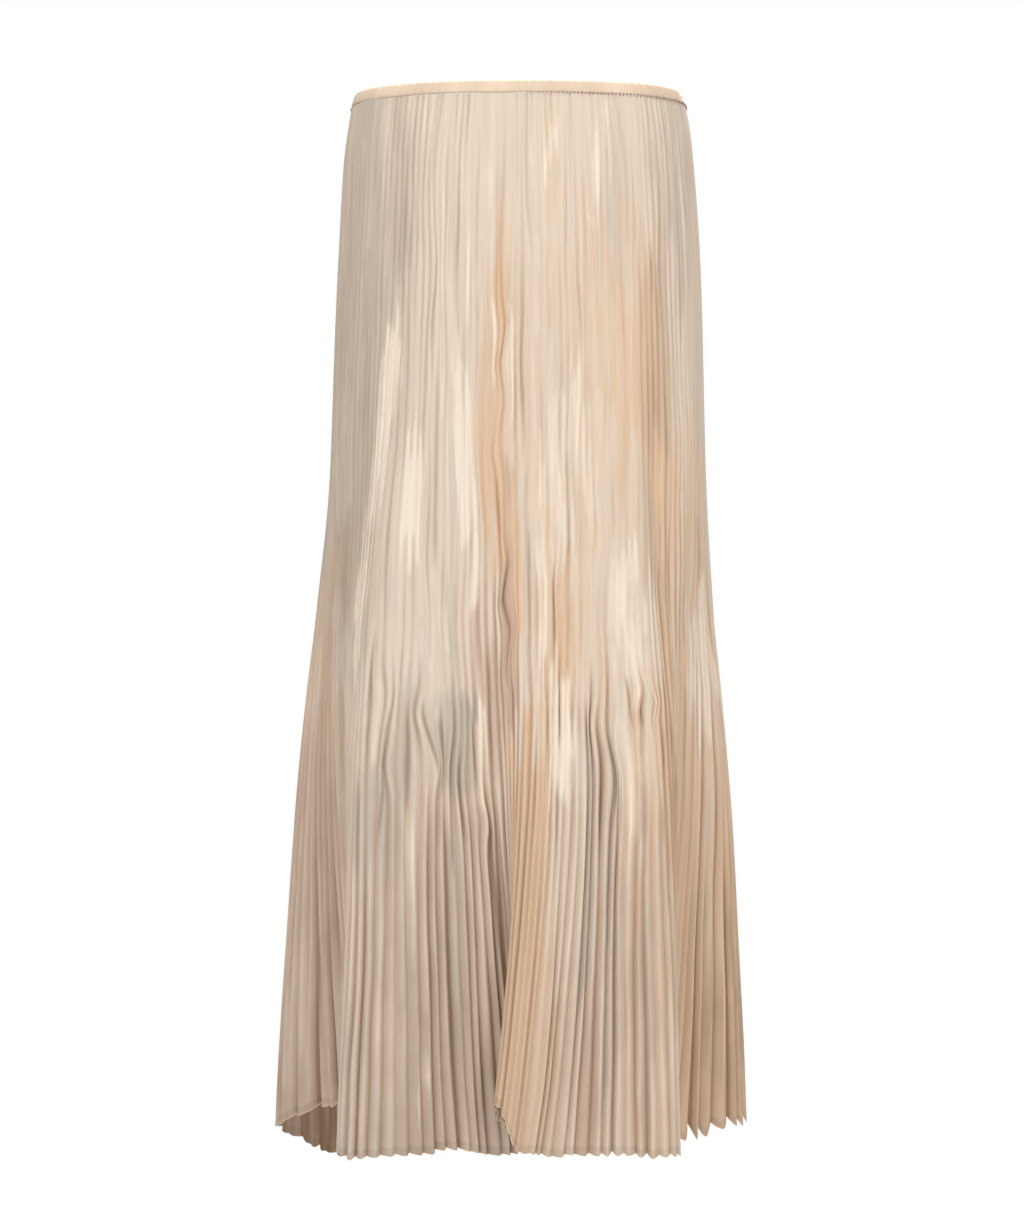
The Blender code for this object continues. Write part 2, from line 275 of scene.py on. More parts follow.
# The main creases, as soft ridges (depth above 0) and troughs (below 0), in millimetres. A crease runs
# from its top to its bottom share, drifts sideways by drift pleats and is width pleats wide.
CREASES = table("pleat drift width top bottom depth", (
    # soft folds that hang from the waistband, over the belly and hips
    (16, 1.8, 1.6, 0.01, 0.21, 1.6), (19.5, 1, 2.6, 0.02, 0.26, -0.6),
    (8, 1, 2.2, 0.03, 0.34, -1.2), (27, 0.8, 1.8, 0.02, 0.15, 0.9),
    (38, -0.4, 1.2, 0.03, 0.36, -0.8), (45.8, -2, 1, 0.005, 0.12, 1.9),
    (53.8, -3.2, 1.1, 0.005, 0.18, 2.3), (52.2, -3.2, 0.9, 0.01, 0.16, -0.8),
    (56.5, -2, 1.6, 0.05, 0.24, -0.9), (65, 1.2, 1.8, 0.01, 0.18, 1),
    (73, -1, 2.4, 0.04, 0.4, -1.3),
    # long drapes through the middle of the front
    (13.5, 1.2, 1.8, 0.18, 0.56, -1.9), (18.5, -1.8, 2.6, 0.22, 0.6, 2),
    (25, -1, 1.2, 0.3, 0.55, -1.3), (30.5, 1.2, 2.2, 0.26, 0.56, 1.5),
    (36.8, 0.6, 1.2, 0.3, 0.6, -0.6), (43.5, 0.5, 2.6, 0.36, 0.62, 1.6),
    (50.3, 0.8, 1.1, 0.46, 0.72, -1.3), (56, 0.2, 2.6, 0.38, 0.6, 1.9),
    (60.8, 0.6, 1.2, 0.24, 0.56, -1.7), (66.5, -1, 1.6, 0.34, 0.54, 1.4),
    (72, 0.8, 1.2, 0.3, 0.52, -1.4),
    # the furrows between the lobes and the front
    (10.8, -0.4, 1.7, 0.54, 1.5, -6), (66.6, 0.4, 1.8, 0.5, 1.5, -7),
    # slits where pleats open over one another
    (17.6, -0.9, 0.34, 0.53, 0.63, -1.5), (20.4, -0.8, 0.34, 0.5, 0.6, -1.7),
    (22, -0.9, 0.32, 0.6, 0.72, -1.8), (24.4, -0.5, 0.34, 0.565, 0.7, -2.4),
    (25.9, 0.7, 0.34, 0.57, 0.655, -2.2), (27.4, 0.1, 0.42, 0.575, 0.675, -3.2),
    (28.9, -0.5, 0.34, 0.585, 0.76, -2.4), (30.1, -0.1, 0.34, 0.61, 0.72, -2.2),
    (31.5, 0.6, 0.34, 0.575, 0.665, -1.9), (33, 0.9, 0.46, 0.64, 0.9, -2.8),
    (34.3, 0.3, 0.34, 0.66, 0.95, -2.2), (37, 0.5, 0.28, 0.41, 0.61, -1.5),
    (38.4, 0.2, 0.26, 0.46, 0.6, -1.4), (43, 0, 0.3, 0.52, 0.6, -1.2),
    (44.2, 0.2, 0.26, 0.6, 0.7, -0.9), (50.9, 0, 0.32, 0.535, 0.655, -2.2),
    (52, -0.1, 0.34, 0.575, 0.735, -2.6), (53.3, 0.1, 0.32, 0.6, 0.7, -2),
    (54.6, -0.1, 0.3, 0.63, 0.72, -1.6), (55.2, 0.9, 0.28, 0.545, 0.607, -1.9),
    (56.6, 0.8, 0.26, 0.562, 0.61, -1.7), (58, 0.7, 0.26, 0.56, 0.618, -1.7),
    (59.4, 0.9, 0.26, 0.575, 0.65, -1.5), (61.7, 0.1, 0.44, 0.43, 0.58, -1.8),
    (63.8, -0.3, 0.38, 0.4, 0.53, -1.5), (67.3, 0.6, 0.4, 0.45, 0.54, -1.8),
    (71.3, 0.5, 0.46, 0.38, 0.56, -2.2), (74.6, 0.8, 0.46, 0.38, 0.55, -2),
    (67.9, 0.3, 0.38, 0.54, 0.66, -1.9), (70.9, 0.2, 0.38, 0.53, 0.64, -2),
    (3.9, 0.8, 0.42, 0.65, 0.96, -2), (6.9, 0.8, 0.38, 0.69, 0.92, -1.7),
    # the same kinds on the sides and the back
    (84, 1, 1.8, 0.02, 0.28, 1.3), (90, -1.6, 1.6, 0.02, 0.22, -1.2),
    (97, 1.8, 1.3, 0.01, 0.2, 1.5), (108, 1.4, 1.8, 0.03, 0.3, -1.3),
    (116, -1.2, 1.4, 0.01, 0.17, 1.2), (121, 0.6, 2.2, 0.04, 0.36, -1.4),
    (127, -2.2, 1.3, 0.01, 0.19, 1.4), (138, 1.4, 1.7, 0.02, 0.25, 1.2),
    (145, -1.2, 2, 0.03, 0.34, -1.4), (153, 1, 1.6, 0.02, 0.21, 1.1),
    (94, 1.2, 2.4, 0.26, 0.58, 1.8), (104, -1.4, 1.4, 0.3, 0.6, -2.2),
    (112, 1, 2.4, 0.33, 0.61, 1.7), (119, -0.8, 1.3, 0.34, 0.62, -2.2),
    (129, 1.2, 2.5, 0.28, 0.58, 1.9), (136, -1, 1.3, 0.31, 0.57, -1.8),
    (148, 1, 2.2, 0.3, 0.6, 1.6), (88, 0.8, 0.42, 0.61, 0.76, -2.3),
    (96.9, -0.6, 0.38, 0.53, 0.68, -2.2), (100, 0.6, 0.38, 0.58, 0.72, -1.9),
    (106, 0.4, 0.42, 0.6, 0.78, -2.7), (114.9, -0.8, 0.38, 0.55, 0.68, -2),
    (118, 0.5, 0.42, 0.61, 0.77, -2.6), (125, 0.4, 0.38, 0.63, 0.74, -2.2),
    (132.9, -0.6, 0.42, 0.53, 0.7, -2.4), (139, 0.8, 0.38, 0.58, 0.72, -2),
    (144, -0.4, 0.42, 0.6, 0.76, -2.4), (152, 0.6, 0.38, 0.55, 0.68, -2),
))

# Pleats that swerve: a group spread pleats wide is pushed sideways by shift pleats over a stretch of
# the length centred on share. Two rows with opposite shifts make an S.
SWERVES = table("pleat spread share stretch shift", (
    (20.5, 3.5, 0.43, 0.1, -1.2), (17.5, 3, 0.52, 0.05, -0.6), (21.5, 1.2, 0.575, 0.024, 0.5),
    (22.5, 1.1, 0.64, 0.022, -0.5), (25.5, 1.2, 0.59, 0.018, -0.55), (26.6, 1.1, 0.64, 0.022, 0.6),
    (28.4, 1.1, 0.6, 0.026, 0.35), (30.4, 1.2, 0.65, 0.03, -0.35), (32.6, 1, 0.69, 0.02, 0.45),
    (37, 1.3, 0.225, 0.014, 0.35), (36.6, 1.3, 0.262, 0.012, -0.35), (37.2, 1.3, 0.3, 0.014, 0.4),
    (36.2, 1.3, 0.345, 0.014, -0.4), (37.4, 1.3, 0.455, 0.014, 0.5), (37, 1.3, 0.49, 0.014, -0.5),
    (37.8, 1.3, 0.525, 0.014, 0.5), (37.2, 1.3, 0.56, 0.016, -0.45), (46, 1.5, 0.47, 0.025, -0.4),
    (51.6, 1.1, 0.6, 0.022, -0.5), (52.9, 1.1, 0.65, 0.03, 0.55), (54.4, 1, 0.615, 0.02, -0.45),
    (56.8, 1.1, 0.568, 0.012, 0.6), (58.6, 1.1, 0.578, 0.01, 0.6), (19, 3.5, 0.64, 0.12, -0.8),
    (62, 1.8, 0.47, 0.03, -0.4), (69, 1.4, 0.49, 0.018, -0.5), (71.5, 1.4, 0.44, 0.02, 0.5),
    (88, 1.4, 0.6, 0.024, 0.6), (98, 1.3, 0.53, 0.02, -0.55), (100, 1.2, 0.61, 0.022, 0.55),
    (107, 1.2, 0.63, 0.02, -0.6), (115.5, 1.4, 0.56, 0.018, 0.55), (118.5, 1.2, 0.64, 0.022, -0.6),
    (126, 1.4, 0.65, 0.022, 0.55), (134, 1.2, 0.56, 0.018, -0.55), (139.5, 1.2, 0.62, 0.022, 0.6),
    (145, 1.4, 0.6, 0.02, -0.55), (152.5, 1.4, 0.56, 0.022, 0.5),
))

# Pleats that lie wide and flat among their neighbours (gain above 0) or are squeezed narrow (below 0),
# over a stretch of the length centred on share.
WIDES = table("pleat gain share stretch", (
    (20.5, 0.55, 0.56, 0.1), (24.5, 0.5, 0.66, 0.12), (28.5, 0.5, 0.84, 0.14),
    (31.5, 0.6, 0.93, 0.14), (45.5, 0.7, 0.92, 0.16), (47.5, 0.55, 0.7, 0.12),
    (50.5, -0.1, 0.88, 0.12), (52.5, 0.45, 0.66, 0.08), (55.5, 0.5, 0.7, 0.14),
    (58.5, 0.35, 0.88, 0.14), (73.5, 0.45, 0.84, 0.16), (2.5, 0.45, 0.82, 0.14),
    (16.5, 0.4, 0.86, 0.16), (91.5, 0.5, 0.8, 0.16), (99.5, 0.45, 0.66, 0.12),
    (108.5, 0.6, 0.9, 0.16), (117.5, 0.5, 0.72, 0.12), (127.5, 0.55, 0.86, 0.16),
    (137.5, 0.45, 0.64, 0.12), (147.5, 0.55, 0.88, 0.16),
))

# Stretches where every second furrow is pressed flat, so that the pleats lie in pairs.
PAIRS = table("first last start end flat", (
    (-7, 8, 0.84, 1.5, 0.6), (67, 82, 0.5, 0.78, 0.85), (12, 18, 0.7, 1.5, 0.45),
    (96, 103, 0.58, 1.5, 0.5), (117, 124, 0.56, 1.5, 0.55), (138, 146, 0.6, 1.5, 0.6),
))

# How deep the furrows are round the skirt, as a share of the usual: the fine ones of the upper skirt and
# the deep ones below.
DEPTHS = table("pleat fine deep", (
    (0, 0.4, 0.95), (8, 0.45, 1), (13, 0.75, 0.9), (18, 1.25, 0.9), (22, 0.95, 1), (27, 0.95, 1.2),
    (31, 0.95, 0.9), (36, 1.05, 1.05), (41, 1, 0.85), (46, 0.85, 0.7), (50, 0.85, 0.82), (53, 0.8, 1.05),
    (57, 0.75, 0.85), (62, 0.75, 0.9), (66, 0.65, 1), (72, 0.55, 1.25), (80, 0.45, 1.1), (92, 0.55, 0.9),
    (104, 1, 0.8), (120, 1.05, 0.95), (136, 1, 0.75), (150, 0.5, 0.9), (160, 0.4, 0.95),
))

# Where the fine furrows are pressed out, or deeper, and how much of their depth is left.
FLATS = table("pleat spread top bottom left", (
    (50, 2.4, 0.43, 0.6, 0.25), (47, 3, 0.6, 0.68, 0.25), (56, 5, 0.4, 0.565, 0.35),
    (72, 5, 0.53, 0.57, 0.2), (69, 6.5, 0.38, 0.535, 1.35), (19, 3.6, 0.6, 0.68, 0.7),
    (18, 6, -0.05, 0.42, 0.55), (27, 2.6, 0.46, 0.575, 0.35), (24, 1.4, 0.33, 0.45, 0.3),
    (31, 1.6, 0.28, 0.43, 0.4), (37.5, 2.4, 0.4, 0.6, 0.55), (92, 4, 0.44, 0.56, 0.3),
    (111, 3, 0.4, 0.6, 0.3), (130, 3.4, 0.44, 0.62, 0.3), (147, 3, 0.46, 0.6, 0.35),
))

# How deep furrows are among their neighbours: the middle, how far each differs by itself and with those
# around it, and the least and the most.
FINE_FURROWS, DEEP_FURROWS = table("middle own patch least most", (
    (0.5, 0.75, 0.35, 0.02, 1.6), (0.9, 0.3, 0.1, 0.25, 1.2),
))

UPPER_PLEATS = 0.95  # depth of a pleat above its opening, as a share of the solid's
OPENING_JITTER = 0.035
GROOVE = 0.18  # half width of a furrow in the upper skirt, in pleats
RIDGE_ROUNDNESS = 1.45  # 1 would be a sharp ridge
WANDER = 0.30  # how far creases stray together, in pleats
STRAY = 0.16  # and each by itself
LOWER_CALM = 0.30  # how much of that is left among the deep pleats
LOWER_SPREAD = 0.40  # how far they differ in width instead
CALM_START = 0.55  # where that change begins, and over how much of the length
CALM_LENGTH = 0.2
WIDE_CORE = 0.5  # half of a wide pleat, in pleats
WIDE_REACH = 2.2  # and the neighbours that make room for it
CREASE_POINT = 0.8  # 1 would end the creases in longer points
FLAT_ENDS = (0.03, 0.03)  # shares of the length over which a flat patch fades in and out
PAIR_ENDS = (0.08, 0.12)  # and a stretch of pairs
PAIR_DEEPENS = 0.4  # how much a pair's furrow gains of what the one in its middle loses
HEM_UNEVEN = 0.0014  # how far the hem strays up and down from pleat to pleat, in metres
TIP_LENGTH = 0.85  # of the solid's zigzag
TIP_UNEVEN = 0.6
FLUTTER = 0.0009  # slow waves of the cloth in and out, in metres
FLUTTER_START = 0.05
MILLIMETRE = 0.001
# The next four set the painted shade in slits and furrows: which troughs are slits, how deep one must be
# to be shaded fully, how wide its shade is, and how dark a fine furrow's shade is beside a deep one's.
WIDEST_SLIT = 0.5  # narrower troughs, in pleats, are slits, dark inside
DEEP_SLIT = 2.2  # and those this deep, in millimetres, fully so
SLIT_HEART = 0.6  # the dark part of a slit, as a share of its width
FINE_SHADE = 0.35  # how dark a fine furrow looks beside a deep one
SHELL_STEPS = 8  # points across a pleat
SHELL_ROWS = 150


def ripple(seed, pleat, share=0.0, *, wide, tall=1.0):
    """Seeded smooth noise from -1 to 1, in waves wide pleats across and tall of the length high."""
    columns = max(round(ALL_PLEATS / wide), 3)
    rows = math.ceil(1 / tall) + 2
    lattice = np.random.default_rng(seed).uniform(-1, 1, (rows, columns))
    across = np.mod(pleat, ALL_PLEATS) / ALL_PLEATS * columns
    down = np.clip(share, 0, 1) / tall
    left = np.floor(across).astype(int)
    top = np.floor(down).astype(int)
    right_share, low_share = eased(across - left), eased(down - top)
    left, right = left % columns, (left + 1) % columns
    upper = lattice[top, left] * (1 - right_share) + lattice[top, right] * right_share
    lower = lattice[top + 1, left] * (1 - right_share) + lattice[top + 1, right] * right_share
    return upper * (1 - low_share) + lower * low_share


def around(pleat, centre):
    """Signed distance in pleats, the short way round the skirt."""
    return np.mod(pleat - centre + PANEL_PLEATS, ALL_PLEATS) - PANEL_PLEATS


def bell(distance):
    """1 at no distance, and almost 0 from 2 on."""
    return np.exp(-(distance**2))


def stretch_of(share, top, bottom, fades):
    """1 along a stretch of the length, with its two ends faded to 0 inside it."""
    return ramped(share, top, fades[0]) * ramped(bottom, share, fades[1])


def strayed(pleat, share):
    """How far the cloth at each pleat and share has moved sideways from its even place, in pleats."""
    calm = 1 - (1 - LOWER_CALM) * ramped(share, CALM_START, CALM_LENGTH)
    moved = WANDER * calm * ripple(11, pleat, share, wide=3.2, tall=0.085)
    moved = moved + STRAY * calm * ripple(12, pleat, share, wide=1.0, tall=0.055)
    moved = moved + LOWER_SPREAD * (1 - calm) * ripple(13, pleat, share, wide=1.6, tall=0.5)
    for row in SWERVES:
        near = bell(around(pleat, row.pleat) / row.spread) * bell((share - row.share) / row.stretch)
        moved = moved + row.shift * near
    for row in WIDES:
        off = around(pleat, row.pleat)
        near = bell(off / WIDE_REACH) * bell((share - row.share) / row.stretch)
        moved = moved + row.gain * np.tanh(off / WIDE_CORE) * WIDE_CORE * near
    return moved


def creased(pleat, share):
    """How far creases and slow waves push the cloth out, in metres, and how deep it is in a slit, for the
    painted shade there.
    """
    out = FLUTTER * ripple(21, pleat, share, wide=5.0, tall=0.16) * ramped(share, 0, FLUTTER_START)
    slit = np.zeros_like(out)
    for row in CREASES:
        length = ramped(share, row.top, row.bottom - row.top)
        shape = np.sin(math.pi * length) ** CREASE_POINT
        off = around(pleat, row.pleat + row.drift * length) / row.width
        out = out + MILLIMETRE * row.depth * shape * bell(off)
        if row.width < WIDEST_SLIT and row.depth < 0:
            slit = np.maximum(slit, shape * bell(off / SLIT_HEART) * min(-row.depth / DEEP_SLIT, 1))
    return out, slit


def opened(pleat, share):
    """How far each pleat has opened: 0 where it is fine and half pressed, 1 where it is deep."""
    place = round_skirt(OPENINGS, "share", pleat)
    place = place + OPENING_JITTER * ripple(31, np.floor(pleat), wide=1.0)
    return eased(np.clip((share - place) / round_skirt(OPENINGS, "blur", pleat) * 0.5 + 0.5, 0, 1))


def varied(kind, own, patch):
    """Depths that differ by their own noise and by the patch that they lie in."""
    return np.clip(kind.middle + kind.own * own + kind.patch * patch, kind.least, kind.most)


def furrow_depth(furrow, share, deep):
    """How deep each furrow is, as a share of an even one: fine ones come and go along the length."""
    patch = ripple(41, furrow, share, wide=7.0, tall=0.13)
    fine = varied(FINE_FURROWS, ripple(42, furrow, share, wide=1.0, tall=0.10), patch)
    fine = fine * round_skirt(DEPTHS, "fine", furrow)
    for row in FLATS:
        near = bell(around(furrow, row.pleat) / row.spread)
        near = near * stretch_of(share, row.top, row.bottom, FLAT_ENDS)
        fine = fine * (1 - (1 - row.left) * near)
    bold = varied(DEEP_FURROWS, ripple(43, furrow, share, wide=1.0, tall=0.45), patch)
    bold = bold * round_skirt(DEPTHS, "deep", furrow)
    for row in PAIRS:
        inside = (around(furrow, row.first) >= 0) & (around(furrow, row.last) <= 0)
        change = np.where(np.mod(np.round(furrow), 2) == 1, -row.flat, PAIR_DEEPENS * row.flat)
        bold = bold * (1 + inside * change * stretch_of(share, row.start, row.end, PAIR_ENDS))
    return (1 - deep) * fine + deep * bold


def thin_cloth(pleat, share, seam_shift):
    """The dressed cloth: its points, and how deep each lies in a furrow and in a slit, 0 to about 1, for
    the painted shade there.
    """
    whole = np.floor(pleat + 1e-9)
    part = pleat - whole
    deep = opened(pleat, share)
    ridge = 0.5 + (round_skirt(LEANS, "ridge", whole + 0.5) - 0.5) * deep
    phase = np.where(part < 0.5, 2 * part * ridge, ridge + (2 * part - 1) * (1 - ridge))
    place = whole + phase + strayed(pleat, share)
    x, y, z = wall_middle(place, share)
    x_after, y_after, _ = wall_middle(place + 0.5, share)
    x_before, y_before, _ = wall_middle(place - 0.5, share)
    along_x, along_y = x_after - x_before, y_after - y_before
    pitch = np.hypot(along_x, along_y)
    along_x, along_y = along_x / pitch, along_y / pitch
    cut = section_at("side", z)
    height = np.sqrt(np.maximum(cut**2 - (pitch / 2) ** 2, (FLATTEST_PLEAT * cut) ** 2))
    fullness = UPPER_PLEATS + (1 - UPPER_PLEATS) * deep
    half_rise = np.minimum(height / 2, STEEPEST_PLEAT * pitch) * fullness
    from_furrow = np.minimum(part, 1 - part)
    sunk = (1 - deep) * bell(from_furrow / GROOVE) + deep * (1 - 2 * from_furrow) ** RIDGE_ROUNDNESS
    sunk = sunk * furrow_depth(np.round(pleat), share, deep)
    pushed, slit = creased(pleat, share)
    out = half_rise * (1 - 2 * sunk) + pushed
    late = grown(share, ZIGZAG_START, 1)
    uneven = 1 + TIP_UNEVEN * ripple(51, pleat, wide=1.3)
    tip = TIP_LENGTH * round_skirt(HEM_FOLDS, "zigzag", place) * uneven * late
    wave = ripple(52, pleat, wide=3.0) + ripple(53, pleat, wide=1.4)
    x = x + along_x * seam_shift + along_y * out
    y = y + along_y * seam_shift - along_x * out
    z = z - (1 - 2 * sunk) * tip + HEM_UNEVEN * wave * late
    return np.stack([x, y, z], axis=-1), sunk * (FINE_SHADE + (1 - FINE_SHADE) * deep), slit


# ---- the dye, with some painted highlights and painted shade

# Patches of dye, in cloth places. Each is spread pleats wide and runs from top to bottom of the length,
# with ragged ends that differ from pleat to pleat by ragged. It drifts sideways by drift pleats on the
# way. A row's number gives its seeds, so the rows keep their order. Some rows are painted highlights
# and painted shade instead of dye; the group headings below say which.
DYES = table("colour pleat spread top bottom strength ragged drift", (
    # upper front: cream 16.2, 46, 54 are painted highlights on folds; taupe 56.5 is painted shade in a
    # trough
    ("taupe", 9, 10.5, -0.1, 0.57, 0.53, 0.04, -3), ("taupe", 21, 2.2, 0.04, 0.15, 0.34, 0.03),
    ("taupe", 22, 7, -0.1, 0.16, 0.24, 0.05, 4), ("grey", 15, 5, 0, 0.24, 0.34, 0.04),
    ("cream", 16.2, 1.3, 0.01, 0.15, 0.46, 0.02, 1), ("cream", 46, 1, 0.01, 0.09, 0.4, 0.01, -2),
    ("cream", 54, 1.2, 0.01, 0.15, 0.42, 0.02, -3.3), ("taupe", 56.5, 2, 0.03, 0.18, 0.35, 0.03, -2),
    ("taupe", 67, 7, -0.1, 0.22, 0.38), ("cream", 28, 7, 0.08, 0.34, 0.36, 0.08),
    ("peach", 50, 13, 0.1, 0.62, 0.3), ("cream", 47, 8, 0.05, 0.4, 0.22, 0.08),
    ("peach", 37, 1, 0.1, 0.24, 0.5, 0.04, 0.5), ("peach", 35.5, 2.4, 0.19, 0.44, 0.55),
    ("cream", 36, 0.7, 0.19, 0.3, 0.6, 0.03, 0.5), ("cream", 38.6, 0.6, 0.18, 0.36, 0.6, 0.03, 0.2),
    ("peach", 58, 5, 0.13, 0.4, 0.38, 0.05, 1), ("umber", 61, 3.2, 0.16, 0.46, 0.5),
    ("peach", 63, 2.2, 0.22, 0.44, 0.14, 0.06, 1),
    # middle of the front
    ("cream", 19.5, 2.2, 0.25, 0.56, 0.66, 0.03, -4), ("cream", 18.6, 3.6, 0.5, 0.62, 0.34, 0.05, -0.6),
    ("taupe", 18.5, 5, 0.15, 0.5, 0.4, 0.05, -2), ("cream", 23.9, 1.3, 0.33, 0.44, 0.85, 0.02),
    ("cream", 30.6, 1.6, 0.27, 0.415, 0.9, 0.02, 1.4), ("cream", 32.4, 0.8, 0.4, 0.5, 0.85, 0.02, 0.3),
    ("grey", 27.5, 3, 0.34, 0.56, 0.32), ("peach", 34.8, 1.8, 0.3, 0.45, 0.6, 0.03, 1.5),
    ("rose", 37.6, 1.5, 0.38, 0.6, 0.85, 0.03, 0.6), ("rose", 34.6, 2.6, 0.5, 0.67, 0.5, 0.04),
    ("peach", 39.2, 1, 0.36, 0.6, 0.8, 0.03), ("grey", 41, 0.8, 0.4, 0.58, 0.55, 0.03),
    ("cream", 47, 5.2, 0.27, 0.46, 0.42, 0.03), ("peach", 45.4, 2.6, 0.44, 0.57, 0.34, 0.02, 0.4),
    ("cream", 43.2, 1.1, 0.42, 0.58, 0.5, 0.03), ("cream", 56, 4, 0.42, 0.575, 0.5, 0.03, 0.4),
    ("taupe", 63, 4.5, 0.22, 0.52, 0.34, 0.04), ("peach", 63.5, 2.4, 0.36, 0.6, 0.52, 0.04),
    ("peach", 70, 5, 0.28, 0.6, 0.45, 0.04), ("taupe", 72, 2, 0.4, 0.49, 0.26, 0.03),
    ("cream", 72, 6, 0.47, 0.6, 0.42, 0.02),
    # where the deep pleats begin
    ("cream", 26.5, 3, 0.48, 0.572, 0.36, 0.03), ("grey", 30, 3.4, 0.572, 0.66, 0.6, 0.006),
    ("cream", 32.8, 0.9, 0.6, 0.68, 0.8, 0.02), ("cream", 46.2, 2.6, 0.562, 0.665, 0.72, 0.02, 0.2),
    ("cream", 56, 1.6, 0.57, 0.72, 0.34), ("peach", 4, 6, 0.47, 0.6, 0.35, 0.03),
    ("grey", 20, 5, 0.61, 0.76, 0.5, 0.06), ("rose", 2, 8, 0.54, 1.1, 0.42),
    ("rose", 2, 7, 0.57, 0.76, 0.4, 0.06),
    # lower front: umber 1, 10.8, 66.5, 69 and 74 are painted shade in the valleys and along the lobes'
    # hems
    ("taupe", 26, 7, 0.62, 1.1, 0.48, 0.06), ("taupe", 26, 3.5, 0.545, 0.64, 0.34, 0.03),
    ("umber", 26, 4, 0.82, 1.1, 0.34), ("grey", 20, 2.4, 0.68, 1.1, 0.34, 0.06),
    ("grey", 28.6, 0.8, 0.66, 0.95, 0.75), ("cream", 24.6, 1.2, 0.64, 0.98, 0.26, 0.06, 0.2),
    ("rose", 31.5, 3.8, 0.64, 1.1, 0.32), ("peach", 40.4, 4, 0.6, 1.1, 0.95, 0.04, 1),
    ("cream", 43.4, 0.9, 0.74, 0.98, 0.35, 0.06), ("rose", 48, 2.2, 0.82, 1.1, 0.3, 0.06),
    ("grey", 50.6, 0.9, 0.56, 0.9, 0.8, 0.04), ("rose", 51.6, 0.9, 0.74, 1.1, 0.7),
    ("grey", 53, 0.7, 0.6, 0.82, 0.6, 0.04), ("taupe", 60, 7, 0.64, 0.96, 0.7, 0.06),
    ("cream", 56.6, 1.2, 0.7, 1.1, 0.22, 0.06, 0.4), ("peach", 60, 6, 0.6, 1.1, 0.38, 0.06),
    ("umber", 61.5, 3.5, 0.585, 0.8, 0.52, 0.04), ("cream", 75, 6, 0.5, 0.64, 0.3, 0.04),
    ("peach", 66.5, 5, 0.58, 1.1, 0.5), ("rose", 76, 6, 0.64, 1.1, 0.2),
    ("umber", 1, 6, 0.96, 1.1, 0.32, 0.04), ("umber", 66.5, 1.6, 0.66, 1.1, 0.36, 0.05, 0.4),
    ("umber", 9, 4.5, 0.42, 0.5, 0.36, 0.02), ("umber", 61, 2, 0.575, 0.77, 0.46, 0.03),
    ("umber", 62.5, 1, 0.44, 0.57, 0.36, 0.02), ("umber", 69, 3.4, 0.92, 1.1, 0.6, 0.09),
    ("umber", 10.8, 1.5, 0.6, 1.1, 0.45, 0.05, -0.4), ("peach", 74, 8, 0.5, 1.1, 0.5, 0.04),
    ("umber", 74, 9, 0.96, 1.1, 0.6, 0.12), ("peach", 46, 3.5, 0.84, 1.1, 0.4),
    # the sides and the back: cream 96, 116, 127 are painted highlights on folds; umber 149 is painted
    # shade at the hem
    ("taupe", 84, 6, -0.1, 0.4, 0.6), ("cream", 96, 1, 0.01, 0.17, 0.75, 0.02, 2),
    ("peach", 104, 2.4, 0.16, 0.48, 0.55, 0.05, 0.5), ("cream", 103, 0.9, 0.2, 0.42, 0.8, 0.04, 0.5),
    ("cream", 110, 2.8, 0.26, 0.6, 0.9, 0.04, -2), ("taupe", 118, 4, -0.1, 0.34, 0.45),
    ("cream", 116, 0.9, 0.01, 0.18, 0.7, 0.02, -1), ("rose", 119, 1.6, 0.36, 0.6, 0.7, 0.04, 0.5),
    ("peach", 122, 2.5, 0.3, 0.58, 0.6, 0.05, 0.5), ("cream", 130, 3.2, 0.3, 0.62, 0.9, 0.04, 1),
    ("cream", 127, 0.9, 0.01, 0.2, 0.75, 0.02, -2), ("grey", 135.5, 1.8, 0.34, 0.58, 0.45, 0.04),
    ("peach", 143, 2.4, 0.2, 0.52, 0.5, 0.05, 0.5), ("taupe", 151, 6, -0.1, 0.5, 0.75, 0.05, 2),
    ("cream", 90, 2.8, 0.36, 0.58, 0.8, 0.04, 0.6), ("peach", 88, 3, 0.58, 1.1, 0.5),
    ("taupe", 98, 8, 0.62, 1.1, 0.5), ("grey", 95, 1.2, 0.6, 1, 0.65),
    ("peach", 103, 2.6, 0.62, 1.1, 0.65, 0.05, 0.4), ("grey", 113, 1.4, 0.6, 0.95, 0.6),
    ("rose", 118, 5, 0.6, 1.1, 0.55), ("cream", 125, 1.6, 0.62, 0.84, 0.7, 0.04, 0.4),
    ("peach", 133, 2.6, 0.62, 1.1, 0.6, 0.05, 0.4), ("taupe", 136, 8, 0.64, 1.1, 0.45),
    ("grey", 140, 1.2, 0.6, 1, 0.6), ("rose", 150, 6, 0.56, 1.1, 0.6),
    ("umber", 149, 8, 0.93, 1.1, 0.85, 0.12),
), defaults=(0.05, 0))
DYE_BLUR = 0.016  # share of the length over which the end of a patch with no rags fades
RAG_BLUR = 0.4  # and what its rags add to that, as a share of theirs
RAG_GROUPS = 1.6  # how far the ends of neighbouring pleats stray together, as a share of ragged
PATCH_EDGE = 2.2  # 1 would fade a patch out sideways as softly as a bell


